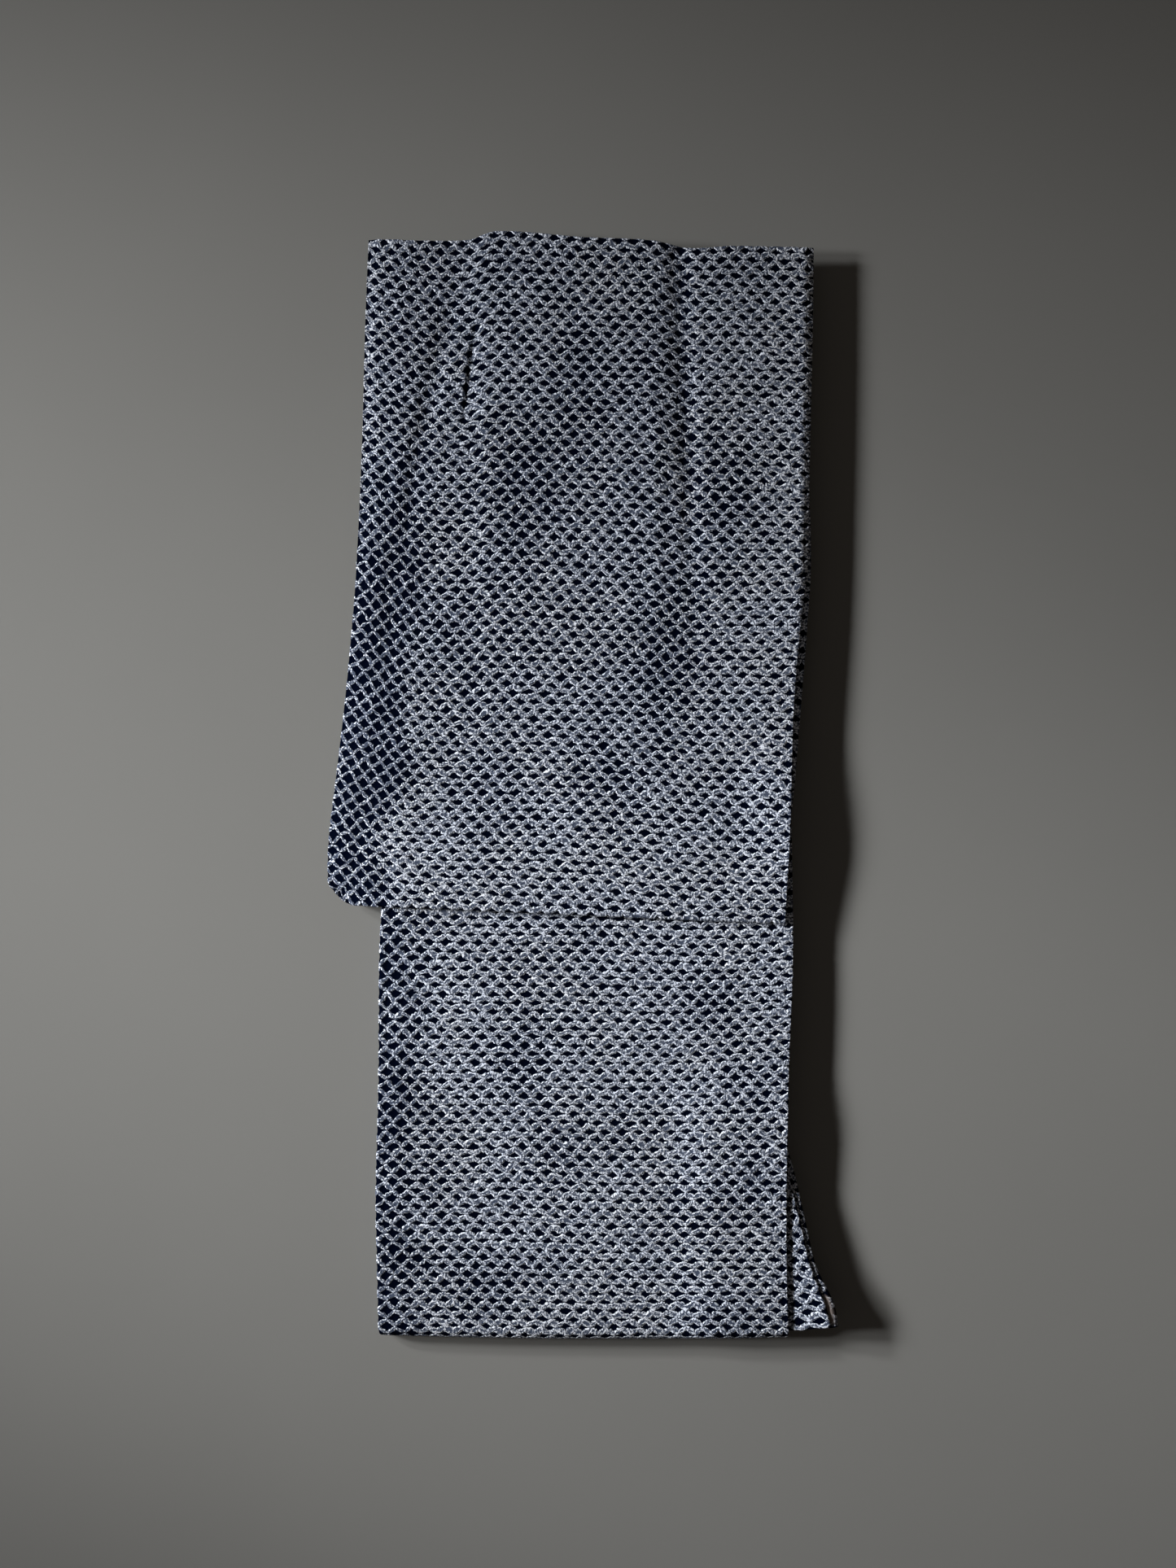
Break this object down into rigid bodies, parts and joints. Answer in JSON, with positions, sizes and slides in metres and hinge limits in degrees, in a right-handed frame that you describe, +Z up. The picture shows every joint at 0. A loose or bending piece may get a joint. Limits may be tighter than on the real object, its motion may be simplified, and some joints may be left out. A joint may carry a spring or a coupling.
{
  "type": "folded shibori dyed cloth",
  "caption": "Unlined cotton robe, tie-dyed all over in small rings on dark navy, folded flat for storage with a sleeve turned back over the stack.",
  "frame": {"origin": "middle of the bounding box in plan, on the surface the cloth lies on", "axes": "+Y along the robe towards its shoulder end, +X across it towards the overlap's side, +Z up"},
  "size_m": [0.3728, 0.8072, 0.0225],
  "materials": {
    "body_cotton": "matt puckered cotton, navy ground with tied white rings",
    "sleeve_cotton": "matt puckered cotton, navy ground with tied white rings",
    "overlap_cotton": "matt puckered cotton, with a strip of plain undyed edge"
  },
  "bodies": {
    "root": {"body": "body_cotton", "sleeve": "sleeve_cotton", "overlap": "overlap_cotton"}
  },
  "joints": []
}
